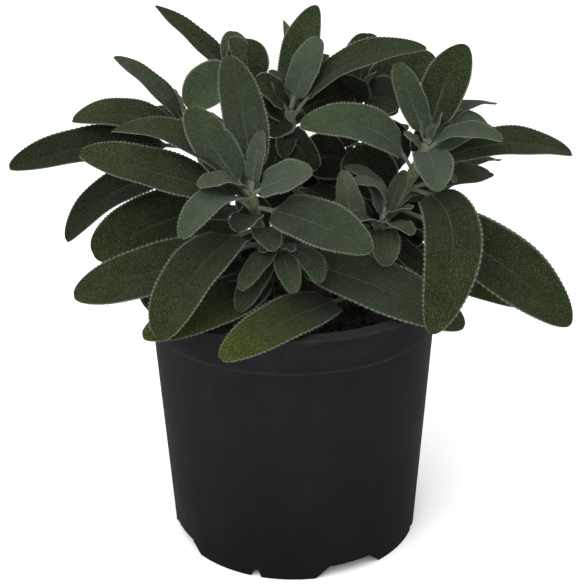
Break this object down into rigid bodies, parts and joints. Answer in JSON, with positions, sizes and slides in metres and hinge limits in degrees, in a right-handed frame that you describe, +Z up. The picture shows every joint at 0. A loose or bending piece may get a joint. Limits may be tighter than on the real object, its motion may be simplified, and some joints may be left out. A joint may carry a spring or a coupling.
{
  "type": "potted sage",
  "caption": "Sage plant with long grey-green leaves on branching stems, growing in compost in a round tapered nursery pot.",
  "frame": {"origin": "on the pot's axis, on the surface that its feet stand on", "axes": "+Z up, -Y towards the front of the plant, +X to the plant's right as seen from the front, along the foliage's longest spread"},
  "size_m": [0.2162, 0.1493, 0.2035],
  "materials": {
    "pot": "black moulded polypropylene, slightly dull",
    "compost": "dark fibrous potting compost",
    "foliage": "pebbled, finely hairy grey-green leaves"
  },
  "bodies": {
    "root": {"pot": "pot", "compost": "compost", "front_left_leafy_stem": "foliage", "right_leafy_stem": "foliage", "back_leafy_stem": "foliage", "back_left_leafy_stem": "foliage"}
  },
  "joints": []
}
